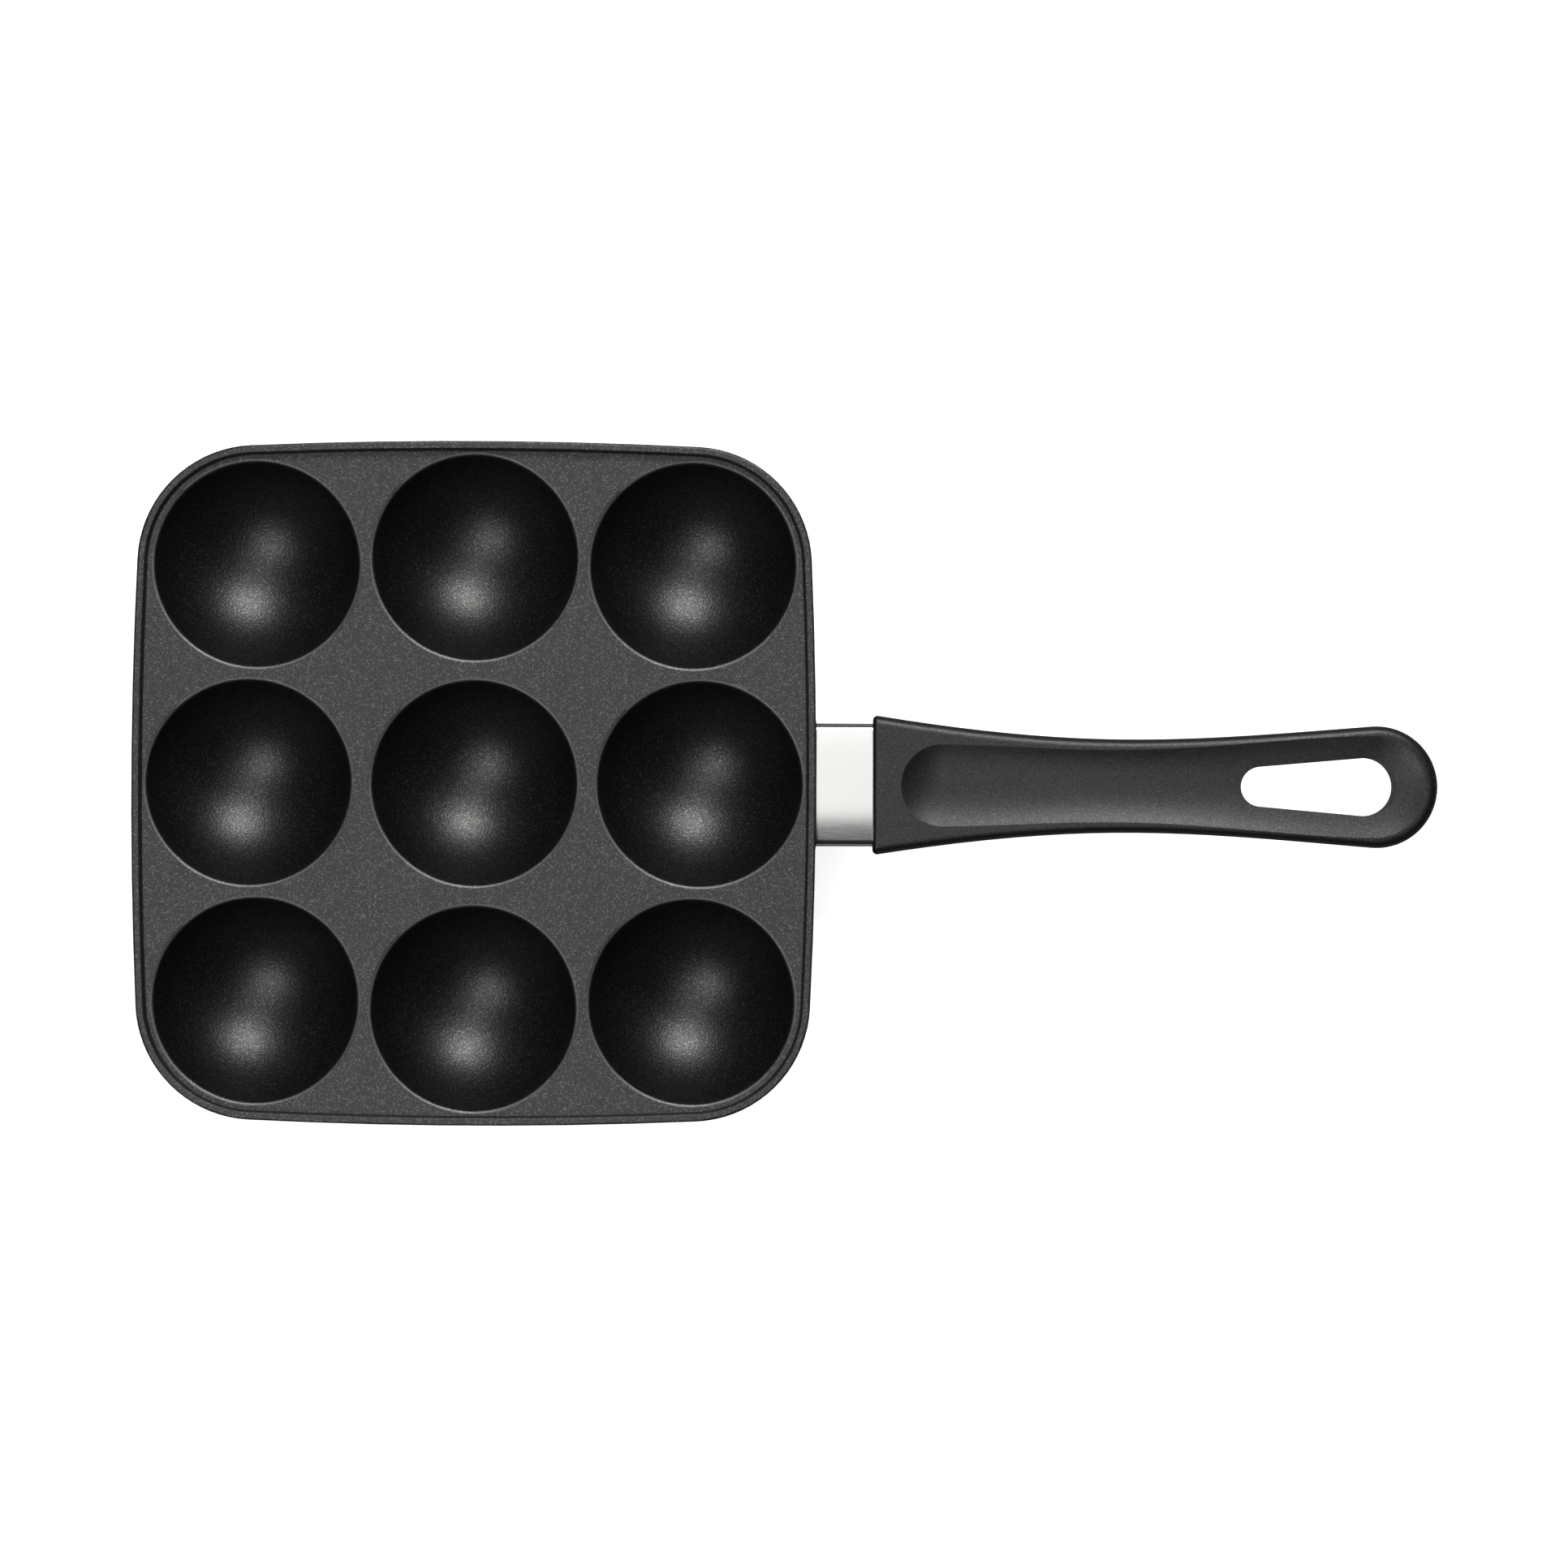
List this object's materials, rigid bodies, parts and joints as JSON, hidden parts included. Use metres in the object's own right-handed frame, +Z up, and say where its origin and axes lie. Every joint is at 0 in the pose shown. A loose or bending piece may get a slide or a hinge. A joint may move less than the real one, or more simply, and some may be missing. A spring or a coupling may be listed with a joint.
{
  "type": "aebleskiver pan",
  "caption": "Square pan with rounded corners and rows of deep round cups for filled pancake balls, with a steel sleeve and a moulded grip that ends in a hanging eye.",
  "frame": {"origin": "middle of the flat foot of the centre cup, on the plane that the nine feet stand on", "axes": "+X runs from the body along the handle, +Z points up out of the cups, and +Y completes the right-handed frame, square to the handle"},
  "size_m": [0.3999, 0.2098, 0.041],
  "materials": {
    "coated_aluminium": "grey-black non-stick coating with a fine sparkle",
    "satin_steel": "satin stainless steel",
    "phenolic": "moulded, fine matt grain",
    "spring_steel": "plain rolled strip"
  },
  "bodies": {
    "root": {"pan_body": "coated_aluminium", "steel_sleeve": "satin_steel", "handle_grip": "phenolic", "lock_spring": "spring_steel"}
  },
  "joints": []
}
